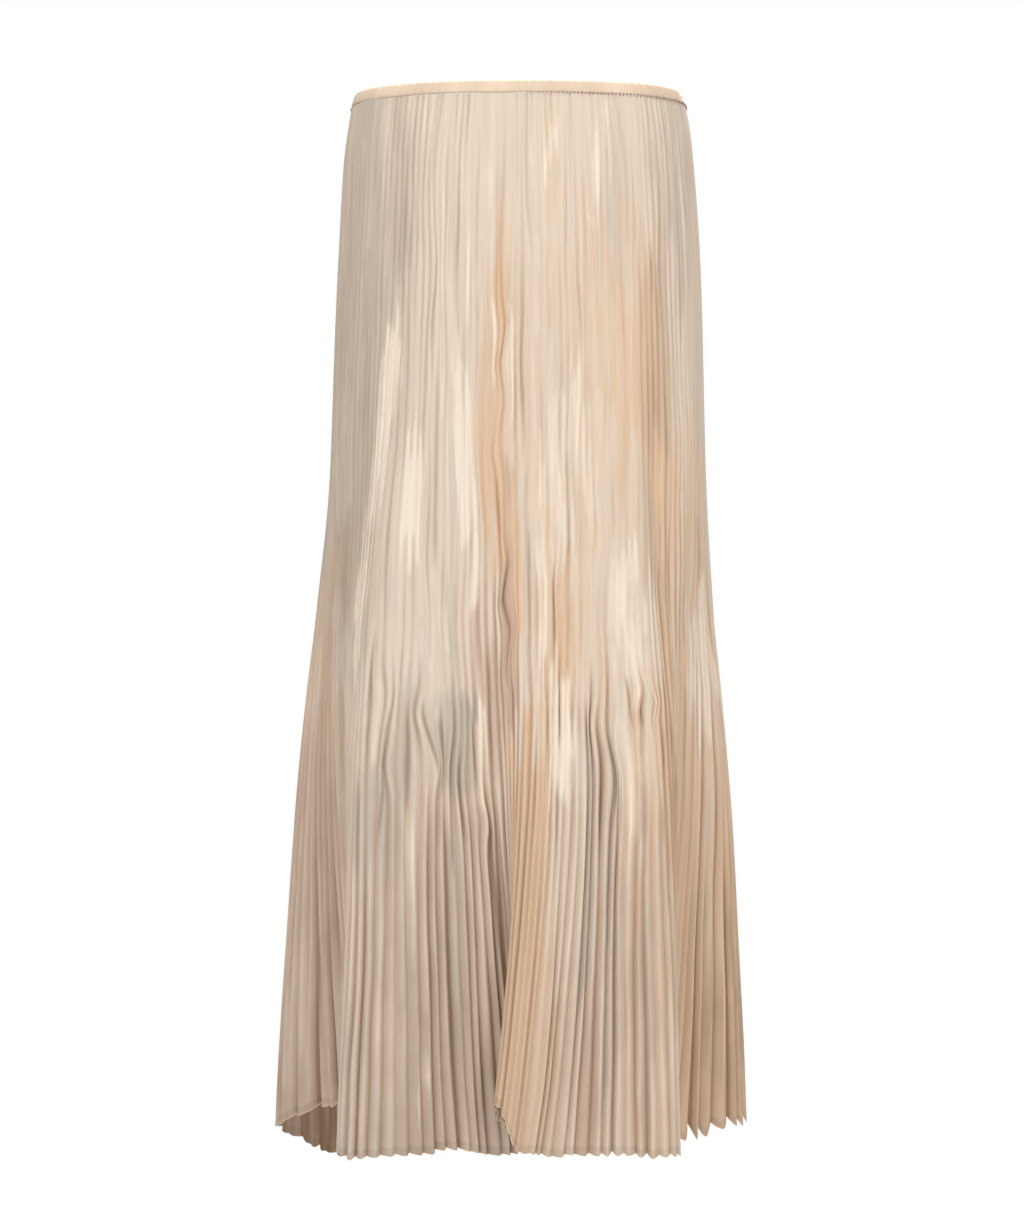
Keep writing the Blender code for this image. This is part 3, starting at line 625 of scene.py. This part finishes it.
def dyed(colour, pleat, share):
    """How strongly one dye, with the painted highlights and shade among its patches, colours each place,
    from 0 to 1.
    """
    left = np.ones_like(share)
    pleat_side = np.floor(2 * pleat + 1e-9) / 2
    for number, row in enumerate(DYES):
        if row.colour != colour:
            continue
        ends = row.ragged * ripple(100 + number, pleat_side, wide=0.5)
        ends = ends + RAG_GROUPS * row.ragged * ripple(200 + number, pleat, wide=3.0)
        fade = DYE_BLUR + RAG_BLUR * row.ragged
        top = np.clip((share - row.top - ends) / fade + 0.5, 0, 1)
        bottom = np.clip((row.bottom - ends - share) / fade + 0.5, 0, 1)
        centre = row.pleat + row.drift * ramped(share, row.top, row.bottom - row.top)
        across = bell(np.abs(around(pleat_side + 0.25, centre) / row.spread) ** PATCH_EDGE)
        left = left * (1 - row.strength * top * bottom * across)
    return 1 - left


# ---- materials

def rgb(*parts):
    """A colour given in 0 to 255 as screens show it, as the linear numbers that shaders take."""
    parts = (part / 255 for part in parts)
    linear = (part / 12.92 if part <= 0.04045 else ((part + 0.055) / 1.055) ** 2.4 for part in parts)
    return (*linear, 1)


GROUND = rgb(221, 204, 185)
# The fine dye streaks, whose colour is also the painted shade of shallow furrows, then the painted shade
# of deep furrows and of slits.
STREAK_AND_FURROW_SHADE = rgb(208, 179, 152)
FURROW_SHADE = (0.62, 0.50, 0.41, 1)
SLIT_SHADE = (0.50, 0.44, 0.38, 1)
# The satin, its painted shine, and the painted shade in the grooves of its ribs.
SATIN = rgb(203, 179, 155)
SATIN_PAINTED_SHINE = rgb(222, 200, 175)
SATIN_RIB_SHADE = rgb(200, 172, 146)
THREAD = rgb(142, 120, 112)
ROLLED_EDGE = rgb(212, 192, 170)
FLOOR_WHITE = rgb(252, 252, 252)
SEE_THROUGH = 0.14
HEM_BAND = 0.006  # the turned edge, which shows a little darker

# How each dye shows: its colour, the amounts from which it shows and is full, and how far noise sways
# them. A later dye lies over the ones before it. Taupe and umber also carry painted shade, and cream
# painted highlights.
TONES = table("dye colour low high unrest", (
    ("taupe", rgb(194, 178, 162), 0.06, 0.84, 0.85),
    ("rose", rgb(197, 169, 149), 0.06, 0.84, 0.70),
    ("grey", rgb(194, 182, 167), 0.14, 0.74, 1.00),
    ("umber", rgb(158, 128, 98), 0.05, 0.95, 0.40),
    ("peach", rgb(220, 188, 157), 0.10, 0.80, 0.75),
    ("cream", rgb(237, 222, 203), 0.28, 0.72, 1.00),
))
BROAD_SHARE, STREAK_SHARE, SIDE_SHARE = 0.6, 0.8, 1.1  # of the three noises that sway a dye


class Nodes:
    """Short calls for building a material's nodes."""

    def __init__(self, name):
        self.material = bpy.data.materials.new(name)
        self.material.use_nodes = True
        self.tree = self.material.node_tree
        self.shader = self.tree.nodes["Principled BSDF"]

    def feed(self, node, inputs):
        """Give a node's sockets their values, or the outputs that they take them from."""
        for socket, value in inputs.items():
            if isinstance(value, (int, float, tuple)):
                node.inputs[socket].default_value = value
            else:
                self.tree.links.new(value, node.inputs[socket])

    def add(self, kind, inputs=None, **settings):
        node = self.tree.nodes.new("ShaderNode" + kind)
        for name, value in settings.items():
            setattr(node, name, value)
        self.feed(node, inputs or {})
        return node

    def attribute(self, name):
        return self.add("Attribute", attribute_name=name).outputs["Fac"]

    def math(self, operation, first, second=0.0):
        return self.add("Math", {0: first, 1: second}, operation=operation).outputs[0]

    def mixed(self, factor, first, second, blend="MIX"):
        inputs = {0: factor, 6: first, 7: second}
        return self.add("Mix", inputs, data_type="RGBA", blend_type=blend).outputs[2]

    def noise(self, vector, stretch, detail=2.0, roughness=0.5, shift=0.0, scale=1.0):
        place = self.add("Mapping", {"Vector": vector, "Scale": stretch, "Location": (shift,) * 3})
        inputs = {"Vector": place.outputs[0], "Scale": scale, "Detail": detail, "Roughness": roughness}
        return self.add("TexNoise", inputs).outputs["Fac"]

    def ramp(self, value, low, high, least=0.0, most=1.0, kind="SMOOTHSTEP"):
        """The value's stretch from low to high, drawn over least to most."""
        inputs = {"Value": value, "From Min": low, "From Max": high, "To Min": least, "To Max": most}
        return self.add("MapRange", inputs, interpolation_type=kind).outputs["Result"]

    def bump(self, height, distance, strength, **under):
        inputs = {"Height": height, "Distance": distance, "Strength": strength, **under}
        return self.add("Bump", inputs).outputs["Normal"]


def unrest(m, cloth, sides, number):
    """Noise about 0 that sways one dye: slow over several pleats, and in steps from side to side."""
    broad = m.noise(cloth, (0.22, 5.0, 1.0), shift=7.3 * number + 3.1)
    streak = m.noise(sides, (1.37, 15.0, 1.0), detail=3.0, roughness=0.6, shift=5.7 * number + 1.9)
    by_side = m.noise(sides, (0.71, 7.0, 1.0), roughness=0.6, shift=4.9 * number + 0.4)
    broad, streak = m.math("MULTIPLY", broad, BROAD_SHARE), m.math("MULTIPLY", streak, STREAK_SHARE)
    total = m.math("ADD", m.math("ADD", broad, streak), m.math("MULTIPLY", by_side, SIDE_SHARE))
    return m.math("SUBTRACT", total, (BROAD_SHARE + STREAK_SHARE + SIDE_SHARE) / 2)


def crepe():
    """The pleated cloth: streaks of dye, painted shade in furrows and slits, and lightly see-through."""
    m = Nodes("pleated_crepe")
    cloth = m.add("UVMap", uv_map="cloth").outputs["UV"]
    place = m.add("TexCoord").outputs["Object"]
    split = m.add("SeparateXYZ", {0: cloth})
    side, down = m.math("FLOOR", m.math("MULTIPLY", split.outputs["X"], 2.0)), split.outputs["Y"]
    sides = m.add("CombineXYZ", {"X": side, "Y": down}).outputs[0]  # steps from side to side of a pleat
    colour = GROUND
    for number, tone in enumerate(TONES):
        swayed = m.math("MULTIPLY", unrest(m, cloth, sides, number), tone.unrest)
        amount = m.math("ADD", m.attribute(tone.dye), swayed)
        colour = m.mixed(m.ramp(amount, tone.low, tone.high), colour, tone.colour)
    lines = m.noise(cloth, (3.2, 6.0, 1.0), shift=33.0)
    furrow, slit = m.attribute("furrow"), m.attribute("slit")
    # Fine dye streaks, then painted shade in the furrows and in the slits.
    for value, low, high, strength, tone, blend in (
        (lines, 0.60, 0.72, 0.40, STREAK_AND_FURROW_SHADE, "MIX"),
        (furrow, 0.03, 0.40, 0.36, STREAK_AND_FURROW_SHADE, "MIX"),
        (furrow, 0.25, 1.0, 0.38, FURROW_SHADE, "MULTIPLY"),
        (furrow, 0.62, 0.98, 0.62, FURROW_SHADE, "MULTIPLY"),
        (slit, 0.1, 0.9, 0.8, SLIT_SHADE, "MULTIPLY"),
    ):
        colour = m.mixed(m.math("MULTIPLY", m.ramp(value, low, high), strength), colour, tone, blend)
    thread = m.noise(cloth, (4.0, 26.0, 1.0), roughness=0.6)
    by_side = m.noise(sides, (0.83, 5.0, 1.0), roughness=0.6, shift=61.0)
    cloudy = m.noise(cloth, (1.7, 6.0, 1.0), detail=3.0, roughness=0.6, shift=21.0)
    # Random unevenness of the cloth's tone; painted shade just under the band; darker towards the hem,
    # partly deeper dye and partly painted shade; and the turned edge.
    for value, low, high, least, most in (
        (thread, 0.0, 1.0, 0.94, 1.06),
        (by_side, 0.25, 0.75, 0.955, 1.045),
        (cloudy, 0.3, 0.7, 0.94, 1.05),
        (down, 0.0, 0.09 * SKIRT_LENGTH, 0.955, 1.0),
        (down, 0.62 * SKIRT_LENGTH, SKIRT_LENGTH, 1.0, 0.84),
        (down, SKIRT_LENGTH - 1.3 * HEM_BAND, SKIRT_LENGTH - HEM_BAND, 1.0, 0.88),
    ):
        light = m.ramp(value, low, high, least, most, "LINEAR")
        colour = m.mixed(1.0, colour, light, "MULTIPLY")
    weave = m.noise(place, (1.0, 1.0, 0.6), scale=1500.0)
    crinkle = m.noise(place, (1.0, 1.0, 0.35), detail=3.0, scale=60.0)
    normal = m.bump(crinkle, 0.0006, 0.5, Normal=m.bump(weave, 0.00012, 0.5))
    m.feed(m.shader, {
        "Base Color": colour, "Normal": normal, "Roughness": 0.62, "Specular IOR Level": 0.28,
        "Sheen Weight": 0.12, "Sheen Roughness": 0.4, "Sheen Tint": (1.0, 0.93, 0.86, 1),
    })
    through = m.add("BsdfTranslucent", {"Color": colour, "Normal": normal})
    both = m.add("MixShader", {0: SEE_THROUGH, 1: m.shader.outputs[0], 2: through.outputs[0]})
    m.feed(m.tree.nodes["Material Output"], {"Surface": both.outputs[0]})
    return m.material


def satin():
    """The waistband's soft satin elastic, with fine upright ribs of its gathers, painted shade in their
    grooves and a painted shine.
    """
    m = Nodes("satin_elastic")
    cloth = m.add("UVMap", uv_map="cloth").outputs["UV"]
    ribs = m.noise(cloth, (260.0, 14.0, 1.0))
    shine = m.noise(cloth, (20.0, 3.0, 1.0))
    # Painted shine in soft patches.
    colour = m.mixed(m.ramp(shine, 0.25, 0.75), SATIN, SATIN_PAINTED_SHINE)
    # Painted shade where the ribs sink.
    colour = m.mixed(m.math("MULTIPLY", m.ramp(ribs, 0.55, 0.2), 0.35), colour, SATIN_RIB_SHADE)
    m.feed(m.shader, {
        "Base Color": colour, "Normal": m.bump(ribs, 0.0002, 0.6), "Roughness": 0.42,
        "Specular IOR Level": 0.4, "Sheen Weight": 0.1, "Anisotropic": 0.3,
    })
    return m.material


def plain(name, colour, roughness, speckle):
    """One colour with a fine grain, about speckle grains to the metre."""
    m = Nodes(name)
    grain = m.noise(m.add("TexCoord").outputs["Object"], (1.0, 1.0, 1.0), scale=speckle)
    darker = tuple(part * 0.93 for part in colour[:3]) + (1,)
    colour, normal = m.mixed(grain, darker, colour), m.bump(grain, 0.1 / speckle, 0.3)
    m.feed(m.shader, {"Base Color": colour, "Normal": normal, "Roughness": roughness})
    return m.material


# ---- pieces

def grid_faces(rows, columns, closed_rows=False, closed_columns=False):
    """Four-cornered faces between rows of points numbered row by row."""
    row, column = np.arange(rows - (not closed_rows)), np.arange(columns - (not closed_columns))
    row, column = (part.ravel() for part in np.meshgrid(row, column, indexing="ij"))
    here, below = row * columns, (row + 1) % rows * columns
    after = (column + 1) % columns
    return np.stack([here + column, below + column, below + after, here + after], axis=1)


def around_path(path, radius, first, second, sides):
    """Rings of points round a path. First and second point across it, at each of its points."""
    turn = np.arange(sides)[:, None] * 2 * math.pi / sides
    return path[:, None] + radius * (first[:, None] * np.cos(turn) + second[:, None] * np.sin(turn))


def placed(name, data, place=(0, 0, 0), turn=(0, 0, 0)):
    """A new object in the scene."""
    made = bpy.data.objects.new(name, data)
    made.location, made.rotation_euler = place, turn
    bpy.context.collection.objects.link(made)
    return made


def new_piece(name, points, faces, material, uv=None):
    """A smooth mesh object; uv gives each point's place on the cloth."""
    mesh = bpy.data.meshes.new(name)
    mesh.from_pydata(points.reshape(-1, 3).tolist(), [], faces.tolist())
    mesh.shade_smooth()
    mesh.materials.append(material)
    if uv is not None:
        layer = mesh.uv_layers.new(name="cloth")
        corner = np.empty(len(mesh.loops), int)
        mesh.loops.foreach_get("vertex_index", corner)
        layer.data.foreach_set("uv", uv.reshape(-1, 2)[corner].ravel())
    piece = placed(name, mesh)
    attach(piece, "root")
    return piece


def write_values(piece, name, values):
    """One number for each point of a piece, for its material to read."""
    held = piece.data.attributes.new(name, "FLOAT", "POINT")
    held.data.foreach_set("value", np.ascontiguousarray(values, np.float32).ravel())


def panel_shell(name, node, first_pleat, material):
    """One panel of pleated cloth. Its own last pleat ends on the seam, not on the next panel."""
    columns = np.arange(PANEL_PLEATS * SHELL_STEPS + 1) / SHELL_STEPS
    pleat, share = np.meshgrid(first_pleat + columns, np.linspace(0, 1, SHELL_ROWS))
    shift = np.zeros(len(columns))
    shift[0], shift[-1] = SEAM_GAP / 2, -SEAM_GAP / 2
    points, furrow, slit = thin_cloth(pleat, share, shift)
    uv = np.stack([pleat, share * SKIRT_LENGTH], axis=-1)
    piece = new_piece(name, points, grid_faces(*pleat.shape), material, uv)
    # Painted shade for the furrows and slits, then the dyes, some of which carry painted highlights and
    # shade.
    write_values(piece, "furrow", furrow)
    write_values(piece, "slit", slit)
    for tone in TONES:
        write_values(piece, tone.dye, dyed(tone.dye, pleat, share))
    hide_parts(node)
    return piece, points


BAND_RING = 16
BAND_STEPS = 1760
BAND_WAVES = 110
BAND_SQUARENESS = {"up": 0.75, "out": 0.45}  # 1 would be an oval section
BAND_ROUND = 0.8  # metres, for the place on the cloth
SCALLOP = 0.00022  # how far the top edge's waves rise
SAG = 0.0003  # how far the lower edge strays
PUCKER = 0.00012  # how far the faces go in and out


def band():
    """The elastic: a soft-edged strip round the waist, its top edge puckered into tiny scallops."""
    turn = np.arange(BAND_RING) * 2 * math.pi / BAND_RING
    rise = np.sign(np.sin(turn)) * np.abs(np.sin(turn)) ** BAND_SQUARENESS["up"]
    outward = np.sign(np.cos(turn)) * np.abs(np.cos(turn)) ** BAND_SQUARENESS["out"]
    pleat, up = np.meshgrid(np.arange(BAND_STEPS) * ALL_PLEATS / BAND_STEPS, rise)
    wave = np.cos(2 * math.pi * BAND_WAVES * pleat / ALL_PLEATS) * (1 + 0.5 * ripple(61, pleat, wide=2.0))
    height = up * BAND_HEIGHT / 2 + SCALLOP * wave * np.clip(up, 0, 1) ** 2
    height = height + SAG * ripple(62, pleat, wide=6.0) * np.clip(-up, 0, 1)
    x, y = to_reach(*waist_outline(pleat), height)
    along_x = np.roll(x, -1, axis=1) - np.roll(x, 1, axis=1)
    along_y = np.roll(y, -1, axis=1) - np.roll(y, 1, axis=1)
    pucker = PUCKER * wave * (0.4 + 0.6 * np.abs(up))
    out = (outward[:, None] - 1) * BAND_THICKNESS / 2 + pucker
    shift = out / np.hypot(along_x, along_y)
    points = np.stack([x + shift * along_y, y - shift * along_x, height], axis=-1)
    uv = np.stack([pleat / ALL_PLEATS * BAND_ROUND, up * BAND_HEIGHT / 2], axis=-1)
    faces = grid_faces(BAND_RING, BAND_STEPS, True, True)
    piece = new_piece("waistband_satin", points, faces, satin(), uv)
    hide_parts("waistband")
    return piece


STITCHES = 180
STITCHES_FROM = 41  # the band covers them on the left of the front
STITCH_LENGTH = 0.0028
STITCH_RADIUS = 0.00045
STITCH_SLANT = 0.16  # in pleats
STITCH_RINGS = 5
STITCH_SIDES = 6
STITCH_LIFT = 0.0002  # how far its middle stands off the band, and its ends sink back
STITCH_SINK = 0.00035


def band_stitches():
    """The row of short upright stitches that draws the pleats in to the band, over its lower edge."""
    along = np.linspace(-1, 1, STITCH_RINGS)
    level = np.zeros(STITCH_RINGS)
    radius = STITCH_RADIUS * np.sqrt(np.maximum(1 - along**4, 0.05))[:, None, None]
    lift = 1 + (STITCH_LIFT - STITCH_SINK * np.abs(along) ** 3) / MEAN_REACH
    points, faces = [], []
    for number, middle in enumerate(np.linspace(STITCHES_FROM, ALL_PLEATS, STITCHES)):
        size = (1 + 0.3 * math.sin(2.4 * number)) * min(1.0, 0.35 + 0.06 * number)
        height = -BAND_HEIGHT / 2 + 0.0001 + along * size * STITCH_LENGTH / 2
        x, y = to_reach(*waist_outline(middle + along * STITCH_SLANT), height)
        out = np.stack([x, y, level], axis=-1)
        out /= np.linalg.norm(out, axis=1)[:, None]
        side = np.stack([-out[:, 1], out[:, 0], level], axis=-1)
        line = np.stack([x * lift, y * lift, height], axis=-1)
        points.append(around_path(line, radius, out, side, STITCH_SIDES).reshape(-1, 3))
        first = number * STITCH_RINGS * STITCH_SIDES
        faces.append(grid_faces(STITCH_RINGS, STITCH_SIDES, closed_columns=True) + first)
    thread = plain("stitch_thread", THREAD, 0.6, 2500.0)
    piece = new_piece("band_stitches", np.concatenate(points), np.concatenate(faces), thread)
    return piece


HEM_ROLL = 0.00035
HEM_ROLL_SIDES = 6


def hem_roll(name, path, material):
    """The narrow rolled edge along a panel's hem."""
    ahead = np.roll(path, -1, axis=0) - np.roll(path, 1, axis=0)
    ahead[0], ahead[-1] = path[1] - path[0], path[-1] - path[-2]
    ahead /= np.linalg.norm(ahead, axis=1)[:, None]
    first = np.cross(ahead, [0.0, 0.0, 1.0])
    first /= np.maximum(np.linalg.norm(first, axis=1)[:, None], 1e-9)
    points = around_path(path, HEM_ROLL, first, np.cross(first, ahead), HEM_ROLL_SIDES)
    faces = grid_faces(len(path), HEM_ROLL_SIDES, closed_columns=True)
    piece = new_piece(name, points, faces, material)
    return piece


# ---- camera, light and floor

LENS = 99.46  # millimetres
CAMERA_PLACE = (-0.0057, -2.97, -0.447)
SKIRT_MIDDLE = (0, 0, -0.45)
SKY = 0.36  # strength of the light from all round
FLOOR = -1.06
FLOOR_RADIUS = 1.05
FLOOR_SIDES = 96


def camera():
    """Level with the skirt's middle, nearly 3 m away, as the photograph was taken."""
    lens = bpy.data.cameras.new("camera")
    lens.lens = LENS
    lens.sensor_width = 36
    lens.clip_end = 60
    bpy.context.scene.camera = placed("camera", lens, CAMERA_PLACE, (math.pi / 2, 0, 0))


def softbox(name, place, target, size, power):
    """A rectangular lamp that faces its target."""
    lamp = bpy.data.lights.new(name, "AREA")
    lamp.shape = "RECTANGLE"
    lamp.size, lamp.size_y = size
    lamp.energy = power
    turn = (Vector(target) - Vector(place)).to_track_quat("-Z", "Y").to_euler()
    placed(name, lamp, place, turn)


def sky():
    """White all round: soft light on the skirt, and plain white where the camera sees it."""
    world = bpy.data.worlds.new("studio")
    bpy.context.scene.world = world
    world.use_nodes = True
    tree = world.node_tree
    shed = tree.nodes["Background"]
    seen = tree.nodes.new("ShaderNodeBackground")
    for node, strength in ((shed, SKY), (seen, 1.0)):
        node.inputs["Color"].default_value = (1, 1, 1, 1)
        node.inputs["Strength"].default_value = strength
    ray = tree.nodes.new("ShaderNodeLightPath")
    either = tree.nodes.new("ShaderNodeMixShader")
    sources = (ray.outputs["Is Camera Ray"], shed.outputs[0], seen.outputs[0])
    for source, target in zip(sources, either.inputs):
        tree.links.new(source, target)
    tree.links.new(either.outputs[0], tree.nodes["World Output"].inputs["Surface"])


def studio():
    """White all round, a white floor and four soft lamps."""
    bpy.context.scene.view_settings.view_transform = "Standard"
    sky()
    softbox("key", (-1.3, -2.9, 0.8), SKIRT_MIDDLE, (1.2, 1.2), 42)
    softbox("fill", (1.9, -2.5, 0.3), SKIRT_MIDDLE, (1.4, 1.6), 34)
    softbox("back_light", (0.6, 2.8, 1.1), SKIRT_MIDDLE, (1.6, 1.4), 40)
    softbox("overhead", (0, 0, 1.9), (0, 0, 0), (2.2, 2.2), 75)
    turn = np.arange(FLOOR_SIDES) * 2 * math.pi / FLOOR_SIDES
    points = FLOOR_RADIUS * np.stack([np.cos(turn), np.sin(turn), 0 * turn], axis=1) + [0, 0, FLOOR]
    mesh = bpy.data.meshes.new("floor")
    mesh.from_pydata(points.tolist(), [], [tuple(range(FLOOR_SIDES))])
    mesh.materials.append(plain("studio_floor", FLOOR_WHITE, 0.9, 40.0))
    floor = placed("floor", mesh)


# ---- the whole

CUT_ROWS = 200


def cut_size(first_pleat):
    """A panel's cut, laid flat with its pleats pressed out: greatest width, length and area."""
    middle = np.full(CUT_ROWS, first_pleat + PANEL_PLEATS / 2)
    _, _, height = wall_middle(middle, np.linspace(0, 1, CUT_ROWS))
    width = 2 * PANEL_PLEATS * section_at("side", height)
    return float(width[-1]), SKIRT_LENGTH, float(np.mean(width) * SKIRT_LENGTH)


def main():
    camera()
    studio()
    cloth = crepe()
    waist = band()
    band_stitches()
    edge = plain("rolled_hem", ROLLED_EDGE, 0.6, 900.0)
    for side, first in (("front", 0), ("back", PANEL_PLEATS)):
        piece, points = panel_shell("cloth_" + side, "skirt_" + side, first, cloth)
        roll = hem_roll("hem_" + side, points[-1], edge)
        width, length, area = cut_size(first)


main()
